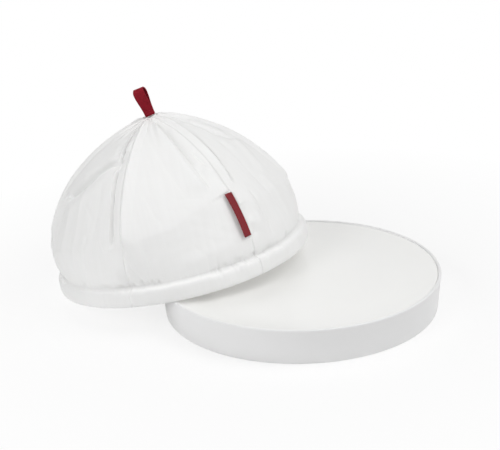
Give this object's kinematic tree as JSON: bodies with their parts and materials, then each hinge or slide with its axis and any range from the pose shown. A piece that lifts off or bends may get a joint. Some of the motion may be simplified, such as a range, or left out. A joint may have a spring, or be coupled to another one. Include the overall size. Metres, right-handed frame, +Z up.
{
  "type": "tray with fabric cloche",
  "caption": "Round low serving tray with a plate let into its lip, and a sewn cloth dome cover with a hooped hem and a pull loop, leaning on the tray's rim.",
  "frame": {"origin": "centre of the tray's underside, on the table", "axes": "+Z up along the tray's axis, -Y towards the viewer, +X to the right"},
  "size_m": [0.395, 0.3293, 0.2105],
  "materials": {
    "tray_plastic": "satin white moulding",
    "plate_plastic": "smooth white, softly glossy",
    "cover_cloth": "white cotton, plain weave",
    "lining_cloth": "off-white cotton",
    "stay_plastic": "milky flexible plastic",
    "red_tape": "red woven tape"
  },
  "bodies": {
    "tray": {"tray_shell": "tray_plastic", "serving_plate": "plate_plastic", "base_plate": "tray_plastic"},
    "cover": {"outer_panel_1": "cover_cloth", "outer_panel_2": "cover_cloth", "outer_panel_3": "cover_cloth", "outer_panel_4": "cover_cloth", "outer_panel_5": "cover_cloth", "outer_panel_6": "cover_cloth", "lining_panel_1": "lining_cloth", "lining_panel_2": "lining_cloth", "lining_panel_3": "lining_cloth", "lining_panel_4": "lining_cloth", "lining_panel_5": "lining_cloth", "lining_panel_6": "lining_cloth", "seam_stay_1": "stay_plastic", "seam_stay_2": "stay_plastic", "seam_stay_3": "stay_plastic", "seam_stay_4": "stay_plastic", "seam_stay_5": "stay_plastic", "seam_stay_6": "stay_plastic", "hem_hoop": "stay_plastic", "crown_patch": "cover_cloth"},
    "loop": {"pull_loop": "red_tape"},
    "tag": {"side_tag": "red_tape"}
  },
  "joints": [
    {"name": "cover_lift", "type": "slide", "parent": "tray", "child": "cover", "axis": [0, 0, 1], "range_m": [0, 0.25]},
    {"name": "loop_flex", "type": "hinge", "parent": "cover", "child": "loop", "pos_m": [-0.14872, 0.07157, 0.18194], "axis": [0.9275, 0.0591, 0.369], "range_deg": [-40, 40], "stiffness_Nm_per_rad": 0.002},
    {"name": "tag_flap", "type": "hinge", "parent": "cover", "child": "tag", "pos_m": [-0.0562, -0.02457, 0.10937], "axis": [-0.4028, 0.3552, 0.8436], "range_deg": [-5, 70], "stiffness_Nm_per_rad": 0.0005}
  ]
}
